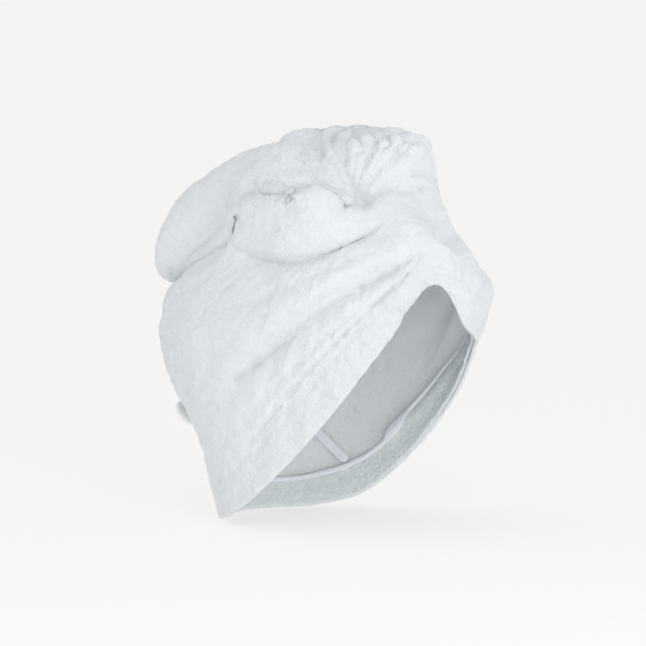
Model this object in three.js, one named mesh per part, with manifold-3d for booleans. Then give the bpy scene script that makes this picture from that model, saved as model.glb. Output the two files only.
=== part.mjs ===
// A microfibre hair towel, worn as a head wrap: a terry hood whose rim runs from the forehead over
// the ears to the nape, and its long twisted tail, laid back over the crown to a button at the nape.
// Millimetres. +Z is up, the wearer faces -Y and the wearer's left is +X. The origin is the middle
// of the opening that the head goes into.
import * as THREE from "three";
import { mergeVertices } from "three/addons/utils/BufferGeometryUtils.js";
import Module from "manifold-3d";

// The opening
const openingWidth = 170; // ear to ear, over the cloth
const openingLength = 210; // forehead to nape, over the cloth
const rimRise = 144; // the forehead's rim above the nape's
const napeDepth = 60; // the nape's rim below the origin
const crownHeight = 279; // the top of the wrap above the nape's rim

// The cloth
const terryWall = 3; // hood wall, with its pile
const facingWidth = 26; // hem turned in along the rim
const facingWall = 2.2;
const overlockWidth = 4.5; // thread along the facing's raw edge, on its inner face
const overlockWall = 1.8;
const backSeamWidth = 7; // seam allowance inside the back
const backSeamWall = 2.4;
const backSeamLength = 150;
const layGap = 0.3; // between pieces that lie on each other
const sideGap = 0.7; // between the facing and the back seam's foot

// The tail
const tailWidth = 122;
const tailThickness = 76;
const tailFlute = 3; // depth of its twisted ridges
const tailTwist = 150; // degrees that the ridges turn along the tail

// The fastening at the nape
const buttonDiameter = 20;
const buttonThickness = 3.4;
const shankDiameter = 5;
const shankHeight = 4.2;
const loopCord = 2.6; // elastic cord of the tail's loop
const loopReach = 19; // from the button's middle up to the tail's tip
const buttonUp = 0.25; // its place on the centre back, as a share of the way from rim to crown

// The seam inside the back runs up from its foot's angle to its head's, in degrees round by the
// wearer's left
const seamFootAngle = 119;
const seamHeadAngle = 150;

// How finely the surfaces are cut
const stepsAround = 66;
const stepsUp = 27;
const tailStepsAround = 24;
const tailStepsAlong = 30;

// The rim, round from the forehead by the wearer's left. height is a share of rimRise above the
// nape's rim, and spread a share of the opening's oval.
const rimRows = [
  { angle: 0, height: 1.0, spread: 0.97 },
  { angle: 22.5, height: 0.92, spread: 0.93 },
  { angle: 45, height: 0.84, spread: 0.95 },
  { angle: 67.5, height: 0.6, spread: 1.0 },
  { angle: 90, height: 0.31, spread: 1.0 },
  { angle: 112.5, height: 0.085, spread: 1.0 },
  { angle: 135, height: 0.01, spread: 1.0 },
  { angle: 157.5, height: 0.0, spread: 0.98 },
  { angle: 180, height: 0.0, spread: 0.94 },
  { angle: 202.5, height: 0.0, spread: 0.91 },
  { angle: 225, height: 0.02, spread: 0.94 },
  { angle: 247.5, height: 0.09, spread: 1.0 },
  { angle: 270, height: 0.285, spread: 1.0 },
  { angle: 292.5, height: 0.57, spread: 1.0 },
  { angle: 315, height: 0.912, spread: 1.0 },
  { angle: 337.5, height: 1.218, spread: 1.0 },
];

// The hood's outline from the rim (up 0) to the crown (up 1). rise is a share of the height left
// above the rim. right and left are shares of half the opening's width, front and back of half its
// length. shift moves the middle of the section back, and square is how much fuller than an oval
// its back half is.
const hoodRows = [
  { up: 0.0, rise: 0.0, right: 1.0, left: 1.0, front: 1.0, back: 1.0, shift: 0, square: 0 },
  { up: 0.08, rise: 0.08, right: 1.03, left: 1.04, front: 1.04, back: 1.07, shift: 0, square: 0 },
  { up: 0.15, rise: 0.155, right: 1.06, left: 1.07, front: 1.06, back: 1.12, shift: 0, square: 0 },
  { up: 0.23, rise: 0.25, right: 1.1, left: 1.08, front: 1.05, back: 1.25, shift: 0, square: -0.03 },
  { up: 0.34, rise: 0.37, right: 1.14, left: 1.05, front: 0.93, back: 1.41, shift: 0, square: 0.05 },
  { up: 0.46, rise: 0.5, right: 1.12, left: 0.98, front: 0.73, back: 1.43, shift: 0, square: 0.1 },
  { up: 0.58, rise: 0.62, right: 1.03, left: 0.9, front: 0.63, back: 1.28, shift: 0, square: 0.08 },
  { up: 0.7, rise: 0.74, right: 0.9, left: 0.8, front: 0.59, back: 0.94, shift: 0, square: 0.04 },
  { up: 0.8, rise: 0.85, right: 0.74, left: 0.68, front: 0.54, back: 0.68, shift: -0.04, square: 0.02 },
  { up: 0.88, rise: 0.94, right: 0.55, left: 0.55, front: 0.49, back: 0.54, shift: -0.08, square: 0 },
  { up: 0.94, rise: 0.985, right: 0.32, left: 0.34, front: 0.3, back: 0.34, shift: -0.1, square: 0 },
  { up: 1.0, rise: 1.0, right: 0, left: 0, front: 0, back: 0, shift: -0.12, square: 0 },
];

// Folds and gathers of the hood. Each runs over the cloth from one place by a second to a third,
// and a place is an angle round and a share up. depth is a share of foldDepth (below 0 for a roll
// that stands out), reach is half its width as a share of foldReach, and lip raises the cloth on
// its right as it runs (below 0 lowers it).
const foldDepth = 10;
const foldReach = 12;
const foldRows = [
  // the right side, from the rim up: the hem's stitching, the long deep fold and the roll above it
  { from: [246, 0.1], by: [292, 0.175], to: [326, 0.16], depth: 0.3, reach: 0.7, lip: 0 },
  { from: [248, 0.25], by: [292, 0.325], to: [334, 0.21], depth: 0.9, reach: 0.95, lip: 0.3 },
  { from: [232, 0.37], by: [268, 0.44], to: [318, 0.36], depth: -0.45, reach: 1.8, lip: 0 },
  { from: [244, 0.66], by: [290, 0.52], to: [330, 0.44], depth: 0.6, reach: 0.9, lip: 0.2 },
  { from: [262, 0.68], by: [288, 0.62], to: [314, 0.56], depth: -0.4, reach: 1.4, lip: 0 },
  { from: [236, 0.775], by: [262, 0.75], to: [290, 0.7], depth: 0.5, reach: 0.8, lip: 0 },
  // the gathers that run out from the pinch over the top of the front
  { from: [316, 0.62], by: [286, 0.85], to: [216, 0.93], depth: 0.6, reach: 0.8, lip: 0 },
  { from: [316, 0.63], by: [310, 0.78], to: [298, 0.94], depth: 0.5, reach: 0.75, lip: 0 },
  { from: [318, 0.63], by: [326, 0.77], to: [332, 0.92], depth: 0.5, reach: 0.75, lip: 0 },
  { from: [318, 0.61], by: [334, 0.62], to: [350, 0.7], depth: 0.55, reach: 0.8, lip: 0 },
  { from: [306, 0.6], by: [317, 0.63], to: [328, 0.6], depth: 0.6, reach: 1.2, lip: 0 },
  // the front: the right side's cloth lies over the roll that comes from the left
  { from: [378, 0.52], by: [356, 0.38], to: [342, 0.26], depth: 0.5, reach: 0.95, lip: 0.25 },
  { from: [357, 0.3], by: [354, 0.18], to: [352, 0.05], depth: 0.25, reach: 0.7, lip: 0 },
  { from: [392, 0.3], by: [374, 0.2], to: [360, 0.06], depth: 0.3, reach: 0.8, lip: 0 },
  // the left side
  { from: [442, 0.2], by: [416, 0.3], to: [384, 0.36], depth: 0.7, reach: 0.95, lip: 0.3 },
  { from: [470, 0.36], by: [430, 0.5], to: [392, 0.55], depth: 0.6, reach: 0.95, lip: -0.3 },
  { from: [480, 0.58], by: [440, 0.68], to: [396, 0.72], depth: 0.55, reach: 0.9, lip: 0 },
  { from: [480, 0.12], by: [440, 0.1], to: [400, 0.14], depth: 0.3, reach: 0.7, lip: 0 },
  // the back: two soft hollows beside the tail, and the cloth that the button draws out
  { from: [506, 0.3], by: [520, 0.42], to: [524, 0.56], depth: 0.4, reach: 1.0, lip: 0 },
  { from: [562, 0.28], by: [556, 0.42], to: [548, 0.54], depth: 0.4, reach: 1.0, lip: 0 },
  { from: [530, 0.25], by: [540, 0.255], to: [550, 0.25], depth: -0.8, reach: 1.3, lip: 0 },
];

// The tail's middle line: across as a share of half the opening's width, along of half its length
// and height of crownHeight above the nape's rim. width and thick are shares of the tail's own, and
// sag, a share of its width, is how far its edges hang below its middle.
const tailRows = [
  { across: -0.67, along: -0.5, height: 0.825, width: 0.03, thick: 0.06, sag: 0 },
  { across: -0.7, along: -0.24, height: 0.84, width: 0.22, thick: 0.28, sag: 0 },
  { across: -0.62, along: 0.02, height: 0.85, width: 0.44, thick: 0.48, sag: 0.02 },
  { across: -0.4, along: 0.24, height: 0.86, width: 0.74, thick: 0.72, sag: 0.08 },
  { across: -0.22, along: 0.48, height: 0.82, width: 0.92, thick: 0.94, sag: 0.13 },
  { across: -0.15, along: 0.76, height: 0.775, width: 0.96, thick: 0.98, sag: 0.14 },
  { across: -0.1, along: 1.01, height: 0.73, width: 0.92, thick: 0.9, sag: 0.04 },
  { across: 0.0, along: 1.16, height: 0.695, width: 0.78, thick: 0.68, sag: 0 },
  { across: 0.18, along: 1.25, height: 0.635, width: 0.46, thick: 0.42, sag: 0 },
  { across: 0.2, along: 1.34, height: 0.55, width: 0.34, thick: 0.36, sag: 0 },
  { across: 0.12, along: 1.38, height: 0.45, width: 0.34, thick: 0.38, sag: 0 },
  { across: 0.0, along: 1.4, height: 0.318, width: 0.17, thick: 0.21, sag: 0 },
];
const tailHeart = { across: 0, along: 0.1, height: 0.4 }; // the tail's flat side faces this point

const degrees = Math.PI / 180;
const halfWidth = openingWidth / 2;
const halfLength = openingLength / 2;

// A smooth curve (Catmull-Rom) through a column of a table, at a value of its key column.
function curveAt(rows, key, column, value, period) {
  const count = rows.length;
  const row = (i) => (period ? rows[((i % count) + count) % count] : rows[Math.min(Math.max(i, 0), count - 1)]);
  const place = (i) => row(i)[key] + (period ? Math.floor(i / count) * period : 0);
  const at = period ? ((value % period) + period) % period : value;
  let i = 0;
  const last = period ? count - 1 : count - 2;
  while (i < last && at > place(i + 1)) i++;
  const slope = (k) => {
    const low = period ? k - 1 : Math.max(k - 1, 0);
    const high = period ? k + 1 : Math.min(k + 1, count - 1);
    return (row(high)[column] - row(low)[column]) / (place(high) - place(low));
  };
  const span = place(i + 1) - place(i);
  const t = Math.min(Math.max((at - place(i)) / span, 0), 1);
  const a = row(i)[column];
  const b = row(i + 1)[column];
  const t2 = t * t;
  const t3 = t2 * t;
  return (
    a * (2 * t3 - 3 * t2 + 1) +
    b * (3 * t2 - 2 * t3) +
    slope(i) * span * (t3 - 2 * t2 + t) +
    slope(i + 1) * span * (t3 - t2)
  );
}

// The hood's outside before its folds, at an angle round and a share up.
function smoothHood(angle, up) {
  const level = (column) => curveAt(hoodRows, "up", column, up);
  const spread = 1 + (curveAt(rimRows, "angle", "spread", angle, 360) - 1) * (1 - up) ** 2;
  const rimHeight = rimRise * curveAt(rimRows, "angle", "height", angle, 360);
  const sine = Math.sin(angle * degrees);
  const cosine = Math.cos(angle * degrees);
  const power = cosine > 0 ? 1 : 1 - level("square");
  const across = Math.sign(sine) * Math.abs(sine) ** power * (sine > 0 ? level("left") : level("right")) * spread;
  const along = -Math.sign(cosine) * Math.abs(cosine) ** power * (cosine > 0 ? level("front") : level("back")) * spread;
  return new THREE.Vector3(
    across * halfWidth,
    (along + level("shift")) * halfLength,
    rimHeight + (crownHeight - rimHeight) * level("rise") - napeDepth,
  );
}

function smoothNormal(angle, up) {
  const low = Math.min(up, 0.97);
  const round = smoothHood(angle + 1, low).sub(smoothHood(angle - 1, low));
  const rise = smoothHood(angle, low + 0.01).sub(smoothHood(angle, Math.max(low - 0.01, 0)));
  return round.cross(rise).normalize();
}

// Each fold as a row of points on the smooth hood, with its direction along the cloth.
const folds = foldRows.map((fold) => {
  const points = [];
  for (let i = 0; i <= 16; i++) {
    const t = i / 16;
    const mix = (a, b, c) => a * (1 - t) * (1 - 2 * t) + 4 * b * t * (1 - t) + c * t * (2 * t - 1);
    const angle = mix(fold.from[0], fold.by[0], fold.to[0]);
    const up = mix(fold.from[1], fold.by[1], fold.to[1]);
    points.push(smoothHood(angle, up));
  }
  return { ...fold, points };
});

// How far a fold moves a point of the cloth outwards.
function foldOffset(fold, point, normal) {
  let best = Infinity;
  let share = 0;
  let side = 0;
  const steps = fold.points.length - 1;
  for (let i = 0; i < steps; i++) {
    const a = fold.points[i];
    const line = fold.points[i + 1].clone().sub(a);
    const t = Math.min(Math.max(point.clone().sub(a).dot(line) / line.lengthSq(), 0), 1);
    const away = point.clone().sub(a).addScaledVector(line, -t);
    if (away.length() < best) {
      best = away.length();
      share = (i + t) / steps;
      side = Math.sign(normal.clone().cross(line).dot(away));
    }
  }
  const reach = foldReach * fold.reach;
  const q = (best / reach) * side;
  const ends = Math.min(1, Math.sin(Math.PI * Math.min(Math.max(share, 0.02), 0.98)) * 1.6);
  return foldDepth * ends * (-fold.depth * Math.exp(-q * q) + fold.lip * Math.exp(-((q - 1.5) ** 2)));
}

function hoodOutside(angle, up) {
  const point = smoothHood(angle, up);
  const normal = smoothNormal(angle, up);
  const offset = folds.reduce((sum, fold) => sum + foldOffset(fold, point, normal), 0);
  return point.addScaledVector(normal, offset);
}

// The length of the cloth from the rim to the crown, at an angle.
function climb(angle) {
  let length = 0;
  for (let i = 0; i < 24; i++) length += smoothHood(angle, i / 24).distanceTo(smoothHood(angle, (i + 1) / 24));
  return length;
}

// How level the rim runs near an angle: 1 where it is flat, less where it climbs. A width square to
// the rim is divided by it to get the climb that spans it.
function rimLevel(angle) {
  const levels = [-20, -10, 0, 10, 20].map((turn) => {
    const along = smoothHood(angle + turn + 5, 0).sub(smoothHood(angle + turn - 5, 0));
    return Math.hypot(along.x, along.y) / along.length();
  });
  return levels.reduce((sum, level) => sum + level, 0) / levels.length;
}

// Rows of the hood's grid: the rim, the middle of the facing, the overlock's lower and upper edge,
// and even steps from there to the crown.
function upAt(angle, row) {
  const length = climb(angle) * rimLevel(angle);
  const edges = [0, facingWidth / 2, facingWidth - overlockWidth, facingWidth];
  if (row < edges.length) return edges[row] / length;
  const start = edges[edges.length - 1] / length;
  return start + ((1 - start) * (row - edges.length + 1)) / (stepsUp - edges.length + 1);
}

// The hood's grid of outside points, row by row, without the crown's single point.
const hoodGrid = [];
for (let row = 0; row < stepsUp; row++) {
  const ring = [];
  for (let i = 0; i < stepsAround; i++) {
    const angle = (360 * i) / stepsAround;
    ring.push(hoodOutside(angle, upAt(angle, row)));
  }
  hoodGrid.push(ring);
}
const crownPoint = hoodOutside(0, 1);
const gridNormals = hoodGrid.map((ring, row) =>
  ring.map((point, i) => {
    const next = ring[(i + 1) % stepsAround];
    const before = ring[(i - 1 + stepsAround) % stepsAround];
    const above = row + 1 < stepsUp ? hoodGrid[row + 1][i] : crownPoint;
    const below = hoodGrid[Math.max(row - 1, 0)][i];
    return next.clone().sub(before).cross(above.clone().sub(below)).normalize();
  }),
);

// Whether a cell of the grid is cut along its rising diagonal: the one whose middle stays nearer
// to the smooth cloth, so that a fold which crosses the grid has a clean edge.
const rising = hoodGrid.slice(0, -1).map((ring, row) =>
  ring.map((point, i) => {
    const j = (i + 1) % stepsAround;
    const angle = (360 * (i + 0.5)) / stepsAround;
    const middle = hoodOutside(angle, (upAt(angle, row) + upAt(angle, row + 1)) / 2);
    const up = point.clone().lerp(hoodGrid[row + 1][j], 0.5);
    const down = ring[j].clone().lerp(hoodGrid[row + 1][i], 0.5);
    return middle.distanceTo(up) < middle.distanceTo(down);
  }),
);

// A point of the hood's grid moved out along the cloth's normal.
function layer(row, i, offset) {
  return hoodGrid[row][i].clone().addScaledVector(gridNormals[row][i], offset);
}

const wasm = await Module();
wasm.setup();

// A closed mesh from rings of points. Rings join in order, a single point closes an end, and a
// loop of rings closes on itself. rises says which way a cell between two rings is cut in two.
function skin(rings, { loop = false, startPoint = null, endPoint = null, rises = () => true } = {}) {
  const points = rings.flat();
  const count = rings[0].length;
  const faces = [];
  const last = loop ? rings.length : rings.length - 1;
  for (let r = 0; r < last; r++) {
    const a = r * count;
    const b = ((r + 1) % rings.length) * count;
    for (let i = 0; i < count; i++) {
      const j = (i + 1) % count;
      if (rises(r, i)) faces.push(a + i, a + j, b + j, a + i, b + j, b + i);
      else faces.push(a + i, a + j, b + i, a + j, b + j, b + i);
    }
  }
  if (startPoint) {
    const tip = points.push(startPoint) - 1;
    for (let i = 0; i < count; i++) faces.push(tip, (i + 1) % count, i);
  }
  if (endPoint) {
    const tip = points.push(endPoint) - 1;
    const base = (rings.length - 1) * count;
    for (let i = 0; i < count; i++) faces.push(tip, base + i, base + ((i + 1) % count));
  }
  const geometry = new THREE.BufferGeometry().setFromPoints(points);
  geometry.setIndex(faces);
  return geometry;
}

function toSolid(geometry) {
  const bare = geometry.clone();
  bare.deleteAttribute("normal");
  bare.deleteAttribute("uv");
  const merged = mergeVertices(bare, 1e-4);
  return new wasm.Manifold(
    new wasm.Mesh({
      numProp: 3,
      vertProperties: merged.attributes.position.array,
      triVerts: new Uint32Array(merged.index.array),
    }),
  );
}

function toGeometry(solid) {
  const mesh = solid.getMesh();
  const geometry = new THREE.BufferGeometry();
  geometry.setAttribute("position", new THREE.BufferAttribute(mesh.vertProperties, 3));
  geometry.setIndex(new THREE.BufferAttribute(mesh.triVerts, 1));
  geometry.computeVertexNormals();
  return geometry;
}

// The hood: outside from rim to crown, then inside back down to the rim.
function hoodGeometry() {
  const outside = hoodGrid.map((ring, row) => ring.map((_, i) => layer(row, i, 0)));
  const inside = hoodGrid.map((ring, row) => ring.map((_, i) => layer(row, i, -terryWall)));
  const innerCrown = crownPoint.clone().add(new THREE.Vector3(0, 0, -terryWall));
  const last = stepsUp - 1;
  const rises = (r, i) => (r < last ? !rising[last - 1 - r][i] : r === last || rising[r - stepsUp][i]);
  return skin([...inside.reverse(), ...outside], { startPoint: innerCrown, endPoint: crownPoint, rises });
}

// The space that the hood fills, hollow and all, grown by the gap that what lies on it keeps.
function filledHood() {
  const rings = hoodGrid.map((ring, row) => ring.map((_, i) => layer(row, i, layGap + 0.05)));
  const middle = new THREE.Vector3();
  rings[0].forEach((point) => middle.addScaledVector(point, 1 / stepsAround));
  const crown = crownPoint.clone().add(new THREE.Vector3(0, 0, layGap + 0.05));
  return toSolid(skin(rings, { startPoint: middle, endPoint: crown, rises: (r, i) => rising[r][i] }));
}

const tailAxis = (share) => {
  const at = share * (tailRows.length - 1);
  const rows = tailRows.map((row, index) => ({ ...row, index }));
  const value = (column) => curveAt(rows, "index", column, at);
  return {
    point: new THREE.Vector3(
      value("across") * halfWidth,
      value("along") * halfLength,
      value("height") * crownHeight - napeDepth,
    ),
    width: value("width") * tailWidth,
    thick: value("thick") * tailThickness,
    sag: value("sag") * tailWidth,
  };
};

function tailRing(share) {
  const here = tailAxis(share);
  const ahead = tailAxis(Math.min(share + 0.01, 1)).point;
  const behind = tailAxis(Math.max(share - 0.01, 0)).point;
  const along = ahead.sub(behind).normalize();
  const heart = new THREE.Vector3(
    tailHeart.across * halfWidth,
    tailHeart.along * halfLength,
    tailHeart.height * crownHeight - napeDepth,
  );
  const out = here.point.clone().sub(heart);
  out.addScaledVector(along, -out.dot(along)).normalize();
  const across = out.clone().cross(along).normalize();
  const ring = [];
  for (let i = 0; i < tailStepsAround; i++) {
    const turn = (2 * Math.PI * i) / tailStepsAround;
    const flute = tailFlute * Math.cos(3 * turn + 3 * tailTwist * degrees * share) * Math.sin(Math.PI * share);
    const c = Math.cos(turn);
    const s = Math.sin(turn);
    ring.push(
      here.point
        .clone()
        .addScaledVector(across, c * (here.width / 2 + flute))
        .addScaledVector(out, s * (here.thick / 2 + flute) - c * c * here.sag),
    );
  }
  return ring;
}

function tailSolid() {
  const rings = [];
  for (let k = 0; k <= tailStepsAlong; k++) rings.push(tailRing(k / tailStepsAlong));
  const start = tailAxis(0).point;
  const end = tailAxis(1).point;
  return toSolid(skin(rings, { startPoint: start, endPoint: end }));
}

const around = [...Array(stepsAround).keys()];
const liningOffset = -terryWall - layGap;
const facingOffset = liningOffset - facingWall;

// A band on the hood's inside, from one row of the grid to a higher one, between two offsets. It
// goes up its outer side and down its inner one.
function liningBand(low, high, outerOffset, innerOffset) {
  const rows = [];
  for (let row = low; row <= high; row++) rows.push(row);
  const outer = rows.map((row) => around.map((i) => layer(row, i, outerOffset)));
  const inner = rows.map((row) => around.map((i) => layer(row, i, innerOffset))).reverse();
  const last = high - low;
  const rises = (r, i) => {
    if (r < last) return rising[low + r][i];
    return r === last || r > 2 * last || !rising[high - (r - last)][i];
  };
  return skin([...outer, ...inner], { loop: true, rises });
}

// The space inside the hood, less the gap that what lies on its inside keeps.
function innerSpace() {
  const rings = hoodGrid.map((_, row) => around.map((i) => layer(row, i, liningOffset - 0.05)));
  const middle = new THREE.Vector3();
  rings[0].forEach((point) => middle.addScaledVector(point, 1 / stepsAround));
  const crown = crownPoint.clone().add(new THREE.Vector3(0, 0, liningOffset - 0.05));
  return toSolid(skin(rings, { startPoint: middle, endPoint: crown, rises: (r, i) => rising[r][i] }));
}

// A ring that holds the facing and the overlock, and the gap over them.
function rimBand() {
  const over = (i) => {
    const next = hoodGrid[3][(i + 1) % stepsAround];
    const before = hoodGrid[3][(i - 1 + stepsAround) % stepsAround];
    return gridNormals[3][i].clone().cross(next.clone().sub(before)).setLength(sideGap);
  };
  const wide = terryWall + 12;
  const side = (offset) => [0, 1, 2, 3].map((row) => around.map((i) => layer(row, i, offset)));
  const top = (offset) => around.map((i) => layer(3, i, offset).add(over(i)));
  const outer = [...side(layGap), top(layGap)];
  const inner = [...side(-wide), top(-wide)];
  return toSolid(skin([...outer, ...inner.reverse()], { loop: true }));
}

const seamAngle = (t) => seamFootAngle + (seamHeadAngle - seamFootAngle) * (1 - (1 - t) ** 2);

// A bar with a rectangular section along the hood's inside, from the overlock up. Its back is
// buried in the wall and cut off by the inner space, and its foot by the rim's band.
function backSeamSolid() {
  const rings = [];
  const steps = 16;
  for (let k = 0; k <= steps; k++) {
    const t = k / steps;
    const angle = seamAngle(t);
    const length = climb(angle);
    const up = (facingWidth / rimLevel(seamFootAngle) + backSeamLength * t) / length;
    const point = hoodOutside(angle, up);
    const normal = smoothNormal(angle, up);
    const nextT = Math.min(t + 0.01, 1);
    const next = hoodOutside(seamAngle(nextT), up + (backSeamLength * 0.01) / length);
    const along = next.sub(point).normalize();
    const side = along.clone().cross(normal).normalize();
    const corner = (a, b) => point.clone().addScaledVector(side, a).addScaledVector(normal, b);
    const deep = liningOffset - backSeamWall;
    const half = backSeamWidth / 2;
    rings.push([corner(half, 0), corner(half, deep), corner(-half, deep), corner(-half, 0)]);
  }
  const mean = (ring) => ring.reduce((sum, point) => sum.addScaledVector(point, 0.25), new THREE.Vector3());
  return toSolid(skin(rings, { startPoint: mean(rings[0]), endPoint: mean(rings[steps]) }));
}

// The nape button's place: across, up and out of the cloth.
const buttonSeat = hoodOutside(180, buttonUp);
const buttonOut = hoodOutside(181, buttonUp)
  .sub(hoodOutside(179, buttonUp))
  .cross(hoodOutside(180, buttonUp + 0.02).sub(hoodOutside(180, buttonUp - 0.02)))
  .normalize();
const buttonAcross = new THREE.Vector3(-1, 0, 0);
const buttonFrame = new THREE.Matrix4()
  .makeBasis(buttonAcross, buttonOut.clone().cross(buttonAcross), buttonOut)
  .setPosition(buttonSeat);

// A plain button with a raised edge, on a shank. The shank is buried in the cloth and cut off by
// the hood's space.
function buttonSolid() {
  const radius = buttonDiameter / 2;
  const base = layGap + 0.2 + shankHeight;
  const top = base + buttonThickness;
  const profile = [
    [0, -shankHeight],
    [shankDiameter / 2, -shankHeight],
    [shankDiameter / 2, base],
    [radius * 0.9, base],
    [radius, base + buttonThickness * 0.35],
    [radius, base + buttonThickness * 0.7],
    [radius * 0.88, top],
    [radius * 0.72, top],
    [radius * 0.6, top - buttonThickness * 0.3],
    [0, top - buttonThickness * 0.3],
  ].map(([r, z]) => new THREE.Vector2(r, z));
  const geometry = new THREE.LatheGeometry(profile, 20);
  return toSolid(geometry.rotateX(Math.PI / 2).applyMatrix4(buttonFrame));
}

// The tail's elastic loop: from the tail's tip down one side of the shank and up the other.
function loopGeometry() {
  const ride = layGap + 0.4 + loopCord / 2;
  const bend = shankDiameter / 2 + layGap + loopCord / 2;
  const points = [];
  for (let k = 0; k <= 4; k++) points.push([-bend, loopReach * (1 - k / 4)]);
  for (let k = 1; k < 8; k++) {
    const turn = Math.PI + (Math.PI * k) / 8;
    points.push([bend * Math.cos(turn), bend * Math.sin(turn)]);
  }
  for (let k = 0; k <= 4; k++) points.push([bend, (loopReach * k) / 4]);
  const path = new THREE.CatmullRomCurve3(
    points.map(([x, y]) => new THREE.Vector3(x, y, ride).applyMatrix4(buttonFrame)),
  );
  return capped(new THREE.TubeGeometry(path, 20, loopCord / 2, 8, false), 8);
}

// A tube with a flat cap on each end.
function capped(tube, sides) {
  const position = tube.attributes.position;
  const rings = [];
  for (let r = position.count / (sides + 1) - 1; r >= 0; r--) {
    const ring = [];
    for (let i = 0; i < sides; i++) ring.push(new THREE.Vector3().fromBufferAttribute(position, r * (sides + 1) + i));
    rings.push(ring);
  }
  const mean = (ring) => ring.reduce((sum, point) => sum.addScaledVector(point, 1 / sides), new THREE.Vector3());
  return skin(rings, { startPoint: mean(rings[0]), endPoint: mean(rings[rings.length - 1]) });
}

const terry = new THREE.MeshStandardMaterial({ color: 0xe9edef, roughness: 0.95, metalness: 0 });
const thread = new THREE.MeshStandardMaterial({ color: 0xdfe6f4, roughness: 0.8, metalness: 0 });
const plastic = new THREE.MeshStandardMaterial({ color: 0xeef0ee, roughness: 0.4, metalness: 0 });

const towel = new THREE.Group();
function add(name, geometry, material) {
  const mesh = new THREE.Mesh(geometry, material);
  mesh.name = name;
  towel.add(mesh);
  return mesh;
}

const hoodSpace = filledHood();
add("hood", hoodGeometry(), terry);
add("tail", toGeometry(tailSolid().subtract(hoodSpace)), terry);
add("rim_facing", liningBand(0, 3, liningOffset, facingOffset), terry);
add("hem_seam", liningBand(2, 3, facingOffset - layGap, facingOffset - layGap - overlockWall), thread);
add("back_seam", toGeometry(backSeamSolid().intersect(innerSpace()).subtract(rimBand())), thread);
add("button", toGeometry(buttonSolid().subtract(hoodSpace)), plastic);
add("loop", loopGeometry(), thread);

export default towel;
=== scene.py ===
import math
import bpy
import numpy as np
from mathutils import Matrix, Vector


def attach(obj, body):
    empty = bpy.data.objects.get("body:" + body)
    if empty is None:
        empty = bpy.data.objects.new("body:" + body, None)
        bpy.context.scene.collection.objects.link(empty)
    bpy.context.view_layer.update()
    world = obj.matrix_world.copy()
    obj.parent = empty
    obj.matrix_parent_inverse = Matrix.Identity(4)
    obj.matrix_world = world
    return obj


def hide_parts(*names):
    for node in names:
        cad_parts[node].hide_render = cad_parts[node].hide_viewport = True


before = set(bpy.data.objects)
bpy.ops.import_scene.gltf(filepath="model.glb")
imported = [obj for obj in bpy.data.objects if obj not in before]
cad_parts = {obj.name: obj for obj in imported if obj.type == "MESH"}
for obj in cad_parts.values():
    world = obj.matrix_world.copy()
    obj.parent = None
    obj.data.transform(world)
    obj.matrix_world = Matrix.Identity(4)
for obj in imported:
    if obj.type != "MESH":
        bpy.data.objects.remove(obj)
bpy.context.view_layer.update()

# Lengths are in millimetres until a mesh is made. +Z is up, the wearer faces -Y, and the origin is the middle of the
# opening that the head goes into. An angle goes round from the forehead by the wearer's left.

# ---------- camera, as the photograph was taken ----------
view = {"azimuth": -54.0, "elevation": 5.0, "distance": 5.0, "lens": 394.0, "target": (-0.0103, 0.0142, 0.0803)}
eye = bpy.data.objects.new("camera", bpy.data.cameras.new("camera"))
bpy.context.scene.collection.objects.link(eye)
bpy.context.scene.camera = eye
turn, lift = math.radians(view["azimuth"]), math.radians(view["elevation"])
back = Vector((math.sin(turn) * math.cos(lift), -math.cos(turn) * math.cos(lift), math.sin(lift)))
eye.location = Vector(view["target"]) + back * view["distance"]
eye.rotation_mode = "QUATERNION"
eye.rotation_quaternion = (-back).to_track_quat("-Z", "Y")
eye.data.lens = view["lens"]
eye.data.sensor_width = 36
eye.data.clip_start, eye.data.clip_end = 0.1, 80


# ---------- numbers to shapes ----------
def curve(keys, values, at, period=None):
    # cubic pieces through the values, each with end slopes that run between its neighbours
    keys, values, at = np.asarray(keys, float), np.asarray(values, float), np.asarray(at, float)
    if period:
        keys = np.concatenate((keys[-2:] - period, keys, keys[:2] + period))
        values = np.concatenate((values[-2:], values, values[:2]))
        at = at % period
    slope = np.empty_like(values)
    slope[1:-1] = (values[2:] - values[:-2]) / (keys[2:] - keys[:-2])
    slope[0] = (values[1] - values[0]) / (keys[1] - keys[0])
    slope[-1] = (values[-1] - values[-2]) / (keys[-1] - keys[-2])
    i = np.clip(np.searchsorted(keys, at, side="right") - 1, 0, len(keys) - 2)
    span = keys[i + 1] - keys[i]
    t = np.clip((at - keys[i]) / span, 0, 1)
    return (
        values[i] * (2 * t**3 - 3 * t**2 + 1)
        + values[i + 1] * (3 * t**2 - 2 * t**3)
        + slope[i] * span * (t**3 - 2 * t**2 + t)
        + slope[i + 1] * span * (t**3 - t**2)
    )


def unit(vectors):
    # each vector divided by its length
    return vectors / np.maximum(np.linalg.norm(vectors, axis=-1, keepdims=True), 1e-9)


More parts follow.
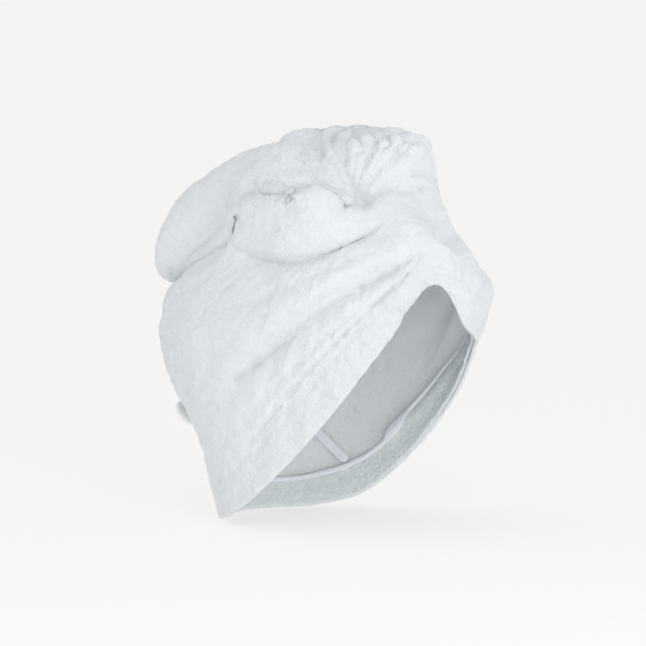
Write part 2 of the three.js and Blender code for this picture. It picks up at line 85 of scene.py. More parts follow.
def noise(points, size, seed):
    # random heights from -1 to 1 on a grid of cells of the given size, blended smoothly between its corners
    cell = np.floor(points / size)
    f = points / size - cell
    f = f * f * (3 - 2 * f)
    cell = cell.astype(np.int64)
    total = np.zeros(points.shape[:-1])
    for dx in (0, 1):
        for dy in (0, 1):
            for dz in (0, 1):
                x, y, z = cell[..., 0] + dx, cell[..., 1] + dy, cell[..., 2] + dz
                h = (x * 73856093) ^ (y * 19349663) ^ (z * 83492791) ^ (seed * 2654435761)
                h = ((h ^ (h >> 13)) * 1274126177) & 0xFFFFFFFF
                h = ((h ^ (h >> 15)) * 2246822519) & 0xFFFFFFFF
                value = (h >> 8 & 0xFFFF) / 32767.5 - 1
                wx = f[..., 0] if dx else 1 - f[..., 0]
                wy = f[..., 1] if dy else 1 - f[..., 1]
                wz = f[..., 2] if dz else 1 - f[..., 2]
                total += value * wx * wy * wz
    return total


def gridNormals(grid):
    # the step round crossed with the step up, at each point of a grid of rings
    around = np.roll(grid, -1, axis=1) - np.roll(grid, 1, axis=1)
    return unit(np.cross(around, np.gradient(grid, axis=0)))


def makePiece(name, rings, tips=(None, None), loop=False):
    # rings of points joined in order by four-sided faces, closed by a point at each end or as a loop of rings
    count, wide = rings.shape[:2]
    points = rings.reshape(-1, 3)
    i = np.arange(wide)
    j = (i + 1) % wide
    rows = np.arange(count if loop else count - 1)[:, None]
    a, b = rows * wide, (rows + 1) % count * wide
    faces = np.stack((a + i, a + j, b + j, b + i), axis=-1).reshape(-1, 4).tolist()
    if tips[0] is not None:
        points = np.vstack((points, tips[0]))
        faces += np.stack((np.full(wide, len(points) - 1), j, i), axis=-1).tolist()
    if tips[1] is not None:
        points = np.vstack((points, tips[1]))
        base = (count - 1) * wide
        faces += np.stack((np.full(wide, len(points) - 1), base + i, base + j), axis=-1).tolist()
    mesh = bpy.data.meshes.new(name)
    mesh.from_pydata((points * 0.001).tolist(), [], faces)
    mesh.shade_smooth()
    piece = bpy.data.objects.new(name, mesh)
    bpy.context.scene.collection.objects.link(piece)
    return piece


# ---------- materials ----------
def linear(hexColour):
    # sRGB to linear: the straight toe below 0.04045, the 2.4 power above it
    parts = [int(hexColour[k : k + 2], 16) / 255 for k in (1, 3, 5)]
    return tuple(c / 12.92 if c <= 0.04045 else ((c + 0.055) / 1.055) ** 2.4 for c in parts) + (1.0,)


def addNode(tree, kind, settings={}, links={}):
    # settings go to the node's own values or its sockets by name, and links join a socket to another node's output
    node = tree.nodes.new(kind)
    for key, value in settings.items():
        if isinstance(key, int) or key in node.inputs:
            node.inputs[key].default_value = value
        else:
            setattr(node, key, value)
    for key, source in links.items():
        tree.links.new(source, node.inputs[key])
    return node


def clothMaterial(name, look):
    # looped pile: round loops of the real size for the bump, clumps of them a little lighter and darker, painted shade
    # in the colour where the bump is low between the loops, and the soft bright edge that fine fibres give
    material = bpy.data.materials.new(name)
    material.use_nodes = True
    tree = material.node_tree
    shader = tree.nodes["Principled BSDF"]
    place = addNode(tree, "ShaderNodeTexCoord").outputs["Object"]
    loops = addNode(tree, "ShaderNodeTexVoronoi", {"Scale": 1000 / look["loop"], "feature": "SMOOTH_F1", "Smoothness": 0.6}, {"Vector": place})
    fibres = addNode(tree, "ShaderNodeTexNoise", {"Scale": 1000 / look["fibre"], "Detail": 3.0}, {"Vector": place})
    clumps = addNode(tree, "ShaderNodeTexNoise", {"Scale": 1000 / look["clump"], "Detail": 4.0}, {"Vector": place})
    height = addNode(tree, "ShaderNodeMath", {"operation": "MULTIPLY_ADD", 1: -0.7}, {0: loops.outputs["Distance"], 2: fibres.outputs["Fac"]})
    lumps = addNode(tree, "ShaderNodeMath", {"operation": "MULTIPLY_ADD", 1: 1.2}, {0: clumps.outputs["Fac"], 2: height.outputs[0]})
    bump = addNode(tree, "ShaderNodeBump", {"Strength": look["bump"], "Distance": look["loop"] * 0.001}, {"Height": lumps.outputs[0]})
    # the colour follows the bump's height: random clump tone plus painted shade in the dips between the loops
    shade = addNode(tree, "ShaderNodeMapRange", {"From Min": 0.8, "From Max": 1.6}, {"Value": lumps.outputs[0]})
    colour = addNode(tree, "ShaderNodeMix", {"data_type": "RGBA"}, {0: shade.outputs[0]})
    colour.inputs[6].default_value = linear(look["low"])
    colour.inputs[7].default_value = linear(look["high"])
    tree.links.new(colour.outputs[2], shader.inputs["Base Color"])
    tree.links.new(bump.outputs[0], shader.inputs["Normal"])
    shader.inputs["Roughness"].default_value = 0.95
    shader.inputs["Specular IOR Level"].default_value = 0.2
    shader.inputs["Subsurface Weight"].default_value = look["through"]
    shader.inputs["Subsurface Radius"].default_value = (1.0, 1.0, 1.0)
    shader.inputs["Subsurface Scale"].default_value = 0.005
    shader.inputs["Sheen Weight"].default_value = look["sheen"]
    shader.inputs["Sheen Roughness"].default_value = 0.6
    shader.inputs["Sheen Tint"].default_value = linear(look["high"])
    return material


# split-microfibre terry in loops about 1.6 mm across, brushed at the outside: matt, cool white and a little fluffy
brushedTerry = clothMaterial("brushedTerry", {"loop": 1.6, "fibre": 0.5, "clump": 5.0, "bump": 0.7, "sheen": 0.2, "through": 0.3, "low": "#f2f7fa", "high": "#fdfeff"})
# the same terry along the hem, where the loops stand longer and coarser
hemTerry = clothMaterial("hemTerry", {"loop": 2.6, "fibre": 0.8, "clump": 6.0, "bump": 0.7, "sheen": 0.2, "through": 0.3, "low": "#eef6f7", "high": "#fdfefe"})
# textured polyester overlock thread, which looks smoother and bluer than the cloth
overlockThread = clothMaterial("overlockThread", {"loop": 0.5, "fibre": 0.3, "clump": 3.0, "bump": 0.3, "sheen": 0.1, "through": 0.3, "low": "#eef2fa", "high": "#fafbff"})
# braided elastic, dull with a fine weave
braidedElastic = clothMaterial("braidedElastic", {"loop": 0.7, "fibre": 0.4, "clump": 4.0, "bump": 0.4, "sheen": 0.1, "through": 0.3, "low": "#dcdfe4", "high": "#f0f2f5"})

# moulded polyester resin button: a low even gloss with faint waviness from the mould
mouldedResin = bpy.data.materials.new("mouldedResin")
mouldedResin.use_nodes = True
tree = mouldedResin.node_tree
place = addNode(tree, "ShaderNodeTexCoord").outputs["Object"]
waves = addNode(tree, "ShaderNodeTexNoise", {"Scale": 220.0, "Detail": 2.0}, {"Vector": place})
gloss = addNode(tree, "ShaderNodeMapRange", {"To Min": 0.3, "To Max": 0.42}, {"Value": waves.outputs["Fac"]})
wavy = addNode(tree, "ShaderNodeBump", {"Strength": 0.08, "Distance": 0.0005}, {"Height": waves.outputs["Fac"]})
pearl = addNode(tree, "ShaderNodeMix", {"data_type": "RGBA"}, {0: waves.outputs["Fac"]})
pearl.inputs[6].default_value = linear("#eef1ef")
pearl.inputs[7].default_value = linear("#f9fbf9")
resin = tree.nodes["Principled BSDF"]
tree.links.new(pearl.outputs[2], resin.inputs["Base Color"])
tree.links.new(gloss.outputs[0], resin.inputs["Roughness"])
tree.links.new(wavy.outputs[0], resin.inputs["Normal"])
resin.inputs["IOR"].default_value = 1.52
resin.inputs["Subsurface Weight"].default_value = 0.5
resin.inputs["Subsurface Radius"].default_value = (1.0, 1.0, 1.0)
resin.inputs["Subsurface Scale"].default_value = 0.003
print("materials made")


# ---------- the cloth ----------
opening = {
    "width": 170, "length": 210, "rimRise": 144, "napeDepth": 60, "crown": 279,
    "angle": [0, 22.5, 45, 67.5, 90, 112.5, 135, 157.5, 180, 202.5, 225, 247.5, 270, 292.5, 315, 337.5],
    "height": [1.0, 0.92, 0.84, 0.6, 0.31, 0.085, 0.01, 0, 0, 0, 0.02, 0.09, 0.285, 0.57, 0.912, 1.218],
    "spread": [0.97, 0.93, 0.95, 1, 1, 1, 1, 0.98, 0.94, 0.91, 0.94, 1, 1, 1, 1, 1],
}
# the hood's outline from rim to crown, in shares of half the opening's width and length
outline = {
    "up": [0, 0.08, 0.15, 0.23, 0.34, 0.46, 0.58, 0.7, 0.8, 0.88, 0.94, 1],
    "rise": [0, 0.08, 0.155, 0.25, 0.37, 0.5, 0.62, 0.74, 0.85, 0.94, 0.985, 1],
    "right": [1, 1.03, 1.06, 1.1, 1.14, 1.12, 1.03, 0.9, 0.74, 0.55, 0.32, 0],
    "left": [1, 1.04, 1.07, 1.08, 1.05, 0.98, 0.9, 0.8, 0.68, 0.55, 0.34, 0],
    "front": [1, 1.04, 1.06, 1.05, 0.93, 0.73, 0.63, 0.59, 0.54, 0.49, 0.3, 0],
    "back": [1, 1.07, 1.12, 1.25, 1.41, 1.43, 1.28, 0.94, 0.68, 0.54, 0.34, 0],
    "shift": [0, 0, 0, 0, 0, 0, 0, 0, -0.04, -0.08, -0.1, -0.12],
    "square": [0, 0, 0, -0.03, 0.05, 0.1, 0.08, 0.04, 0.02, 0, 0, 0],
}
# each fold runs from one place by a second to a third: (angle, up) three times, then depth in mm, half width in mm
# and the height in mm of the lip on its right
foldTable = [
    (246, 0.1, 292, 0.175, 326, 0.16, 3, 8.4, 0),
    (248, 0.25, 292, 0.325, 334, 0.21, 9, 11.4, 3),
    (232, 0.37, 268, 0.44, 318, 0.36, -4.5, 21.6, 0),
    (244, 0.66, 290, 0.52, 330, 0.44, 6, 10.8, 2),
    (262, 0.68, 288, 0.62, 314, 0.56, -4, 16.8, 0),
    (236, 0.775, 262, 0.75, 290, 0.7, 5, 9.6, 0),
    (316, 0.62, 286, 0.85, 216, 0.93, 6, 9.6, 0),
    (316, 0.63, 310, 0.78, 298, 0.94, 5, 9, 0),
    (318, 0.63, 326, 0.77, 332, 0.92, 5, 9, 0),
    (318, 0.61, 334, 0.62, 350, 0.7, 5.5, 9.6, 0),
    (306, 0.6, 317, 0.63, 328, 0.6, 6, 14.4, 0),
    (378, 0.52, 356, 0.38, 342, 0.26, 5, 11.4, 2.5),
    (357, 0.3, 354, 0.18, 352, 0.05, 2.5, 8.4, 0),
    (392, 0.3, 374, 0.2, 360, 0.06, 3, 9.6, 0),
    (442, 0.2, 416, 0.3, 384, 0.36, 7, 11.4, 3),
    (470, 0.36, 430, 0.5, 392, 0.55, 6, 11.4, -3),
    (480, 0.58, 440, 0.68, 396, 0.72, 5.5, 10.8, 0),
    (480, 0.12, 440, 0.1, 400, 0.14, 3, 8.4, 0),
    (506, 0.3, 520, 0.42, 524, 0.56, 4, 12, 0),
    (562, 0.28, 556, 0.42, 548, 0.54, 4, 12, 0),
    (530, 0.25, 540, 0.255, 550, 0.25, -8, 15.6, 0),
]
# the shadowed gap under the tail's end, in the same columns
gapFold = (198, 0.585, 228, 0.612, 245, 0.715, 11.0, 6.0, 0)
# finer wrinkles that only the looks need, in the same columns
wrinkleTable = [
    (252, 0.275, 292, 0.338, 330, 0.24, 4.4, 2.2, 0.8),
    (256, 0.125, 289, 0.205, 322, 0.22, 3.0, 2.4, 0.6),
    (248, 0.66, 288, 0.535, 328, 0.44, 4.4, 2.6, 1.0),
    (250, 0.76, 263, 0.735, 278, 0.737, 3.4, 2.8, 0.8),
    (316, 0.64, 298, 0.83, 236, 0.99, 4.6, 5.2, 1.6),
    (318, 0.65, 318, 0.81, 318, 0.99, 4.6, 5.2, 1.6),
    (319, 0.64, 335, 0.74, 354, 0.95, 4.4, 5.2, 1.6),
    (318, 0.62, 344, 0.6, 366, 0.68, 2.4, 4.6, 0.8),
    (290, 0.86, 262, 0.95, 190, 0.985, 4.6, 5.6, 1.4),
    (306, 0.86, 296, 0.94, 250, 0.995, 4.2, 5.0, 1.2),
    (329, 0.84, 336, 0.93, 350, 0.99, 4.2, 5.0, 1.2),
    (313, 0.62, 296, 0.71, 270, 0.78, 1.8, 4.2, 0.6),
    (258, 0.29, 296, 0.365, 330, 0.25, 1.6, 4.4, 0.5),
    (262, 0.2, 296, 0.255, 330, 0.19, 1.4, 4.0, 0.4),
    (250, 0.47, 286, 0.46, 322, 0.37, 1.4, 5.0, 0.4),
    (340, 0.4, 346, 0.3, 348, 0.18, 1.2, 3.6, 0.5),
    (346, 0.36, 351, 0.24, 353, 0.12, 1.4, 3.2, 0.5),
    (366, 0.38, 362, 0.26, 357, 0.14, 1.6, 3.8, 0.6),
    (214, 0.2, 224, 0.32, 238, 0.42, 1.2, 5.0, 0.4),
    (206, 0.36, 220, 0.44, 240, 0.5, 1.3, 5.0, 0.4),
    (150, 0.2, 140, 0.32, 126, 0.42, 1.4, 5.0, 0.4),
    (100, 0.26, 76, 0.36, 40, 0.4, 1.6, 4.6, 0.5),
    (104, 0.42, 70, 0.58, 36, 0.6, 1.6, 4.6, 0.5),
    (120, 0.66, 84, 0.78, 40, 0.8, 1.6, 4.6, 0.5),
    (190, 0.1, 206, 0.16, 228, 0.14, 1.2, 4.0, 0.4),
    (170, 0.1, 152, 0.15, 134, 0.12, 1.2, 4.0, 0.4),
]


def smoothHood(angle, up):
    # across is sine and along minus cosine of the angle, each times the outline's share and the rim's spread, which
    # fades upwards, and the height goes from the rim's to the crown's as the outline rises
    level = lambda column: curve(outline["up"], outline[column], up)
    spread = 1 + (curve(opening["angle"], opening["spread"], angle, 360) - 1) * (1 - up) ** 2
    rim = opening["rimRise"] * curve(opening["angle"], opening["height"], angle, 360)
    sine, cosine = np.sin(np.radians(angle)), np.cos(np.radians(angle))
    power = np.where(cosine > 0, 1, 1 - level("square"))
    across = np.sign(sine) * np.abs(sine) ** power * np.where(sine > 0, level("left"), level("right")) * spread
    along = -np.sign(cosine) * np.abs(cosine) ** power * np.where(cosine > 0, level("front"), level("back")) * spread
    return np.stack(
        (
            across * opening["width"] / 2,
            (along + level("shift")) * opening["length"] / 2,
            rim + (opening["crown"] - rim) * level("rise") - opening["napeDepth"],
        ),
        axis=-1,
    )


def smoothNormal(angle, up):
    # the step of one degree each way round crossed with the step of a hundredth each way up
    low = np.minimum(up, 0.97)
    around = smoothHood(angle + 1, low) - smoothHood(angle - 1, low)
    return unit(np.cross(around, smoothHood(angle, low + 0.01) - smoothHood(angle, np.maximum(low - 0.01, 0))))


def foldOffsets(points, normals, table, fade):
    # Each fold is a chain of 16 straight steps through its three places. A point's distance q from it, in half
    # widths and with the side's sign, gives a bell for a roll, a bell with a sharp middle for a crease, and a second
    # bell at q = 1.5 for the lip, and all of them fade towards the chain's two ends.
    total = np.zeros(len(points))
    t = np.linspace(0, 1, 17)
    for a0, u0, a1, u1, a2, u2, depth, reach, lip in table:
        w0, w1, w2 = (1 - t) * (1 - 2 * t), 4 * t * (1 - t), t * (2 * t - 1)
        chain = smoothHood(a0 * w0 + a1 * w1 + a2 * w2, u0 * w0 + u1 * w1 + u2 * w2)
        near = np.all((points > chain.min(0) - 4.5 * reach) & (points < chain.max(0) + 4.5 * reach), axis=1)
        p, n = points[near], normals[near]
        best, share, side = np.full(len(p), 1e9), np.zeros(len(p)), np.zeros(len(p))
        for k in range(16):
            line = chain[k + 1] - chain[k]
            s = np.clip((p - chain[k]) @ line / (line @ line), 0, 1)
            away = p - chain[k] - s[:, None] * line
            far = np.linalg.norm(away, axis=1)
            closer = far < best
            best = np.where(closer, far, best)
            share = np.where(closer, (k + s) / 16, share)
            side = np.where(closer, np.sign(np.einsum("ij,ij->i", np.cross(n, line), away)), side)
        q = best / reach * side
        ends = np.minimum(1, np.sin(math.pi * np.clip(share, 0.02, 0.98)) * fade)
        bell = np.exp(-q * q)
        if depth > 0:
            bell = 0.5 * bell + 0.5 * np.exp(-3.2 * (np.sqrt(q * q + 0.01) - 0.1))
        total[near] += ends * (-depth * bell + lip * np.exp(-((q - 1.5) ** 2)))
    return total


def cloth(angle, up, wrinkles=None):
    # the smooth hood moved out along its normal by its folds and by any wrinkles, where folds that meet are no deeper
    # together than about 10 mm and the wrinkles no deeper than 4 mm
    shape = np.broadcast(angle, up).shape
    angle, up = (np.broadcast_to(v, shape).astype(float).ravel() for v in (angle, up))
    points, normals = smoothHood(angle, up), smoothNormal(angle, up)
    offset = foldOffsets(points, normals, foldTable, 1.6)
    offset = np.where(offset < -7, -7 - 3 * np.tanh((-7 - offset) / 3), offset)
    if wrinkles:
        offset = offset + 4 * np.tanh(foldOffsets(points, normals, wrinkles, 4.0) / 4)
        offset = offset + foldOffsets(points, normals, [gapFold], 4.0)
    return (points + normals * offset[:, None]).reshape(shape + (3,))


def rimClimb(angle):
    # the cloth's length from rim to crown, times how level the rim runs near each angle
    steps = smoothHood(angle[:, None], np.linspace(0, 1, 25)[None, :])
    length = np.linalg.norm(np.diff(steps, axis=1), axis=2).sum(axis=1)
    level = 0
    for shift in (-20, -10, 0, 10, 20):
        along = smoothHood(angle + shift + 5, 0) - smoothHood(angle + shift - 5, 0)
        level = level + np.hypot(along[:, 0], along[:, 1]) / np.linalg.norm(along, axis=1) / 5
    return length * level


# ---------- hood ----------
hood = {
    "around": 384, "outerRows": 188, "innerRows": 58, "wall": 3.0,
    "puff": (14, 0.8), "crumple": (6, 0.6), "pile": (2.5, 0.7),  # cell size and height of each layer of unevenness
    "pinch": (318.0, 0.62), "rayLong": 22, "rayTurn": 1.9, "rayHeight": 0.6, "flute": 1.7, "fluteTurn": 24,
    "stitchUp": 27, "stitchDepth": 1.0, "stitchWidth": 1.6, "puckerStep": 7,
}


def uneven(points, sizes, seed):
    # layers of noise added up, each with its own cell size and height
    return sum(height * noise(points, size, seed + k) for k, (size, height) in enumerate(sizes))


tail = {
    "width": 122, "thick": 76, "flute": 3, "twist": 150, "heart": (0, 0.1, 0.4), "around": 260, "along": 300,
    "puff": (16, 1.0), "crumple": (7, 0.7), "pile": (2.5, 0.7), "plies": 7, "plyDepth": 0.9, "plyTwist": 230, "sink": 1.5, "dip": 9, "dipTo": 0.14, "trim": 0.36, "trimAt": 0.46, "trimSpan": 0.15, "topTrim": 0.3, "topTrimTo": 0.28,
    "join": 20, "joinReach": 34, "joinFrom": 0.2, "joinTo": 0.36,  # how the hood's cloth rises to meet the tail's first part
    "across": [-0.67, -0.7, -0.62, -0.4, -0.22, -0.15, -0.1, 0, 0.18, 0.2, 0.12, 0],
    "back": [-0.5, -0.24, 0.02, 0.24, 0.48, 0.76, 1.01, 1.16, 1.25, 1.34, 1.38, 1.4],
    "height": [0.825, 0.84, 0.85, 0.86, 0.82, 0.775, 0.73, 0.695, 0.635, 0.55, 0.45, 0.318],
    "wide": [0.03, 0.22, 0.44, 0.74, 0.92, 0.96, 0.92, 0.78, 0.46, 0.34, 0.34, 0.17],
    "deep": [0.06, 0.28, 0.48, 0.72, 0.94, 0.98, 0.9, 0.68, 0.42, 0.36, 0.38, 0.21],
    "sag": [0, 0, 0.02, 0.08, 0.13, 0.14, 0.04, 0, 0, 0, 0, 0],
}


def inPlace(across, back, height):
    # shares of half the opening's width and length and of the crown's height, to millimetres
    return np.stack((across * opening["width"] / 2, back * opening["length"] / 2, height * opening["crown"] - opening["napeDepth"]), axis=-1)


def tailLine(share, *columns):
    # the tail's columns at equal steps of its length
    keys = np.arange(len(tail["across"]))
    return [curve(keys, tail[column], share * (len(keys) - 1)) for column in columns]


def nearest(points, cloud):
    # each point's distance to the closest of a cloud, from the squares of both and their product
    found = []
    for part in np.array_split(points.astype(np.float32), max(1, len(points) // 2000)):
        square = (part**2).sum(1)[:, None] + (cloud**2).sum(1)[None, :] - 2 * part @ cloud.T
        found.append(np.sqrt(np.maximum(square.min(axis=1), 0)))
    return np.concatenate(found)


share = np.linspace(0, 1, tail["along"] + 1)
axis = inPlace(*tailLine(share, "across", "back", "height"))
ahead = inPlace(*tailLine(np.minimum(share + 0.01, 1), "across", "back", "height"))
behind = inPlace(*tailLine(np.maximum(share - 0.01, 0), "across", "back", "height"))
along = unit(ahead - behind)
out = axis - inPlace(*(np.array(v, float) for v in tail["heart"]))
out = unit(out - np.einsum("ij,ij->i", out, along)[:, None] * along)
side = unit(np.cross(out, along))
axis = axis - out * (tail["dip"] * np.clip(1 - share / tail["dipTo"], 0, 1))[:, None]  # the tail's start sinks into the pinch
wide, deep, sag = tailLine(share, "wide", "deep", "sag")
theta = np.arange(tail["around"]) * 2 * math.pi / tail["around"]
# three rounded ridges with a sharp valley between them turn along the tail, with finer plies across them
ridge = 2 * np.abs(np.cos(1.5 * (theta[None, :] + math.radians(tail["twist"]) * share[:, None]))) - 1
ply = 2 * np.abs(np.cos(tail["plies"] / 2 * (theta[None, :] + math.radians(tail["plyTwist"]) * share[:, None]))) - 1
swell = (tail["flute"] * ridge + tail["plyDepth"] * ply) * np.sin(math.pi * share)[:, None]
c, s = np.cos(theta)[None, :], np.sin(theta)[None, :]
trim = 1 - tail["trim"] * np.exp(-(((share - tail["trimAt"]) / tail["trimSpan"]) ** 2))[:, None] * (c > 0)  # its lower edge is drawn up
trim = trim * (1 - tail["topTrim"] * np.clip(1 - share / tail["topTrimTo"], 0, 1)[:, None] ** 0.7 * (c < 0))  # and its first upper edge down
reachOut = c * (wide[:, None] * tail["width"] / 2 + swell) * trim
reachUp = s * (deep[:, None] * tail["thick"] / 2 + swell) - c * c * sag[:, None] * tail["width"]
tailRings = axis[:, None, :] + side[:, None, :] * reachOut[..., None] + out[:, None, :] * reachUp[..., None]

angle = np.arange(hood["around"]) * 360 / hood["around"]
climb = rimClimb(angle)
outerUp = (np.arange(hood["outerRows"]) / hood["outerRows"])[:, None]
outer = cloth(angle[None, :], outerUp, wrinkleTable)
outerNormals = gridNormals(outer)
# near the tail's first part the cloth rises to meet it, in a curve that is steepest against it
flat = outer.reshape(-1, 3)
early = tailRings[: int(tail["joinTo"] * tail["along"])]
weight = np.clip((tail["joinTo"] - share[: len(early)]) / (tail["joinTo"] - tail["joinFrom"]), 0, 1)
rise = np.zeros(len(flat))
close = (flat[:, 2] > early[..., 2].min() - 30) & (flat[:, 0] < early[..., 0].max() + 30)
for strength in (0.34, 0.67, 1.0):
    cloud = early[weight >= strength - 0.01][:, ::4].reshape(-1, 3).astype(np.float32)
    gap = np.hypot(nearest(flat[close], cloud), 4)
    rise[close] += tail["join"] / 3 * np.clip(1 - gap / tail["joinReach"], 0, 1) ** 2
under = np.clip((0.875 - (angle[None, :] - 250) * 0.0024 - outerUp) / 0.06, 0, 1) * (angle > 200) * np.clip((322 - angle) / 26, 0, 1)
outer = outer + outerNormals * (rise.reshape(outer.shape[:2]) * under)[..., None]
outerNormals = gridNormals(outer)
above = outerUp * climb[None, :]
arc = np.cumsum(np.linalg.norm(np.roll(outer[0], -1, axis=0) - outer[0], axis=1))
pucker = 0.6 + 0.4 * np.cos(2 * math.pi * arc / hood["puckerStep"])
groove = hood["stitchDepth"] * pucker[None, :] * np.exp(-(((above - hood["stitchUp"]) / hood["stitchWidth"]) ** 2))
plush = uneven(outer, (hood["puff"], hood["crumple"], hood["pile"]), 1)
# drawn wrinkles: long narrow noise cells in rings and rays round the pinch, seen from the right side
away = outer - smoothHood(np.array(hood["pinch"][0]), np.array(hood["pinch"][1]))
far, bearing = np.linalg.norm(away, axis=-1), np.degrees(np.arctan2(away[..., 2], away[..., 1]))
rays = np.stack((far / hood["rayLong"], bearing / hood["rayTurn"], 0 * far), axis=-1)
plush = plush + hood["rayHeight"] * noise(rays, 1.0, 51) * np.clip((far - 15) / 50, 0, 1) * np.clip((30 - outer[..., 0]) / 40, 0, 1) * np.clip((0.75 - outerUp) / 0.1, 0, 1)
# the gathers over the pinch: rounded flutes that fan up from it to the top edge
fan = bearing + 5 * noise(outer, 30, 61)
flute = 2 * np.abs(np.cos(math.pi * fan / hood["fluteTurn"])) - 1
flute = flute * np.clip((far - 22) / 30, 0, 1) * np.clip((outerUp - 0.62) / 0.1, 0, 1) * np.clip((34 - outer[..., 0]) / 20, 0, 1) * np.clip((bearing - 15) / 20, 0, 1)
plush = plush + hood["flute"] * flute
outer = outer + outerNormals * (plush - groove)[..., None]
innerUp = (np.arange(hood["innerRows"]) / hood["innerRows"])[:, None]
middle = cloth(angle[None, :], innerUp)
inner = middle - gridNormals(middle) * hood["wall"]
inner = inner + gridNormals(middle) * uneven(inner, (hood["crumple"], hood["pile"]), 11)[..., None]
crownTop = outer[-1].mean(axis=0) + np.array([0, 0, 0.2])
crownUnder = inner[-1].mean(axis=0)
bend = np.radians([-60, -20, 20, 60])[:, None, None]
rimMiddle, rimHalf = (outer[0] + inner[0]) / 2, (outer[0] - inner[0]) / 2
down = -unit(outer[3] - outer[0])
edge = rimMiddle + rimHalf * np.sin(bend) + down * np.cos(bend) * hood["wall"] / 2
hoodPiece = makePiece("terryHood", np.concatenate((inner[::-1], edge, outer)), (crownUnder, crownTop))
hoodPiece.data.materials.append(brushedTerry)
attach(hoodPiece, "root")
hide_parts("hood")
print("hood made")

# ---------- tail ----------
rings = tailRings
fade = np.minimum(1, 8 * share * (1 - share) + 0.1)[:, None]
rings = rings + gridNormals(rings) * (uneven(rings, (tail["puff"], tail["crumple"], tail["pile"]), 21) * fade)[..., None]
tailPiece = makePiece("twistedTail", rings, (axis[0], axis[-1]))
tailPiece.data.materials.append(brushedTerry)

# the tail's underside is pressed flat within the hood's wall: the hood's filled form is made for that and then removed
form = makePiece("form", outer, (outer[0].mean(axis=0), crownTop))
press = tailPiece.modifiers.new("press", "SHRINKWRAP")
press.target = form
press.wrap_method = "NEAREST_SURFACEPOINT"
press.wrap_mode = "OUTSIDE"
press.offset = -tail["sink"] * 0.001
pressed = bpy.data.meshes.new_from_object(tailPiece.evaluated_get(bpy.context.evaluated_depsgraph_get()))
tailPiece.modifiers.clear()
tailPiece.data = pressed
tailPiece.data.shade_smooth()
bpy.data.objects.remove(form)
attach(tailPiece, "root")
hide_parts("tail")
print("tail made")

# ---------- the turned hem and its overlock ----------
facing = {"width": 26, "wall": 2.2, "gap": 0.3, "around": 720, "innerRows": 24, "outerRows": 6, "lumps": (5, 0.45), "pile": (2.4, 0.4)}
overlock = {"width": 4.5, "wall": 1.6, "around": 2600, "rows": 9, "stitch": 2.4, "ridge": 0.35, "slant": 1.1}


def band(columns, lowMm, highMm, rows, offset):
    # a strip of the hood's cloth between two distances from the rim, moved inwards, with its normals
    turns = np.arange(columns) * 360 / columns
    length = rimClimb(turns)
    heights = np.linspace(lowMm, highMm, rows)[:, None] / length[None, :]
    strip = cloth(turns[None, :], heights)
    normals = gridNormals(strip)
    return strip - normals * offset, normals


start = hood["wall"] + facing["gap"]
rear, rearNormals = band(facing["around"], 0, facing["width"], facing["outerRows"], start)
face, faceNormals = band(facing["around"], 0, facing["width"], facing["innerRows"], start + facing["wall"])
pile = uneven(face, (facing["lumps"], facing["pile"]), 31)
face = face - faceNormals * (0.3 + pile)[..., None]
lip = (rear[0] + face[0]) / 2 - unit(face[2] - face[0]) * 0.9
head = (rear[-1] + face[-1]) / 2 + unit(face[-1] - face[-3]) * 0.5
facingPiece = makePiece("turnedHem", np.concatenate((rear, head[None], face[::-1], lip[None])), loop=True)
facingPiece.data.materials.append(hemTerry)
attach(facingPiece, "root")
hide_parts("rim_facing")

start = hood["wall"] + facing["gap"] + facing["wall"] + 0.3
low, high = facing["width"] - overlock["width"], facing["width"]
rear, _ = band(overlock["around"], low, high, 3, start)
face, faceNormals = band(overlock["around"], low, high, overlock["rows"], start)
across = np.linspace(-1, 1, overlock["rows"])[:, None]
run = np.cumsum(np.linalg.norm(np.roll(face[4], -1, axis=0) - face[4], axis=1))
run *= round(run[-1] / overlock["stitch"]) * overlock["stitch"] / run[-1]
# slanted loops of thread over a rounded strip: the height is an arch across it plus a ridge for each stitch
threads = np.abs(np.cos(math.pi * (run[None, :] + overlock["slant"] * across) / overlock["stitch"]))
arch = overlock["wall"] * np.sqrt(1 - 0.86 * across**2)
face = face - faceNormals * (arch + overlock["ridge"] * threads)[..., None]
overlockPiece = makePiece("overlockSeam", np.concatenate((rear, face[::-1])), loop=True)
overlockPiece.data.materials.append(overlockThread)
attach(overlockPiece, "root")
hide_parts("hem_seam")
print("hem made")

# ---------- the seam up the inside of the back ----------
backSeam = {"foot": 119, "head": 150, "length": 150, "width": 7, "wall": 2.2, "steps": 640, "around": 28, "stitch": 2.4, "ridge": 0.3}
t = np.linspace(0, 1, backSeam["steps"] + 1)
seamAngle = backSeam["foot"] + (backSeam["head"] - backSeam["foot"]) * (1 - (1 - t) ** 2)
steps = smoothHood(seamAngle[:, None], np.linspace(0, 1, 25)[None, :])
length = np.linalg.norm(np.diff(steps, axis=1), axis=2).sum(axis=1)
footLevel = rimClimb(np.array([119.0]))[0] / length[0]
seamUp = (facing["width"] / footLevel + 1.5 + (backSeam["length"] - 1.5) * t) / length
line = cloth(seamAngle, seamUp)
tiny = 0.6
around = cloth(seamAngle + tiny, seamUp) - cloth(seamAngle - tiny, seamUp)
rising = cloth(seamAngle, seamUp + 0.004) - cloth(seamAngle, seamUp - 0.004)
normal = unit(np.cross(around, rising))
along = unit(np.gradient(line, axis=0))
side = unit(np.cross(along, normal))
theta = (np.arange(backSeam["around"]) * 2 * math.pi / backSeam["around"])[None, :]
run = np.concatenate(([0], np.cumsum(np.linalg.norm(np.diff(line, axis=0), axis=1))))[:, None]
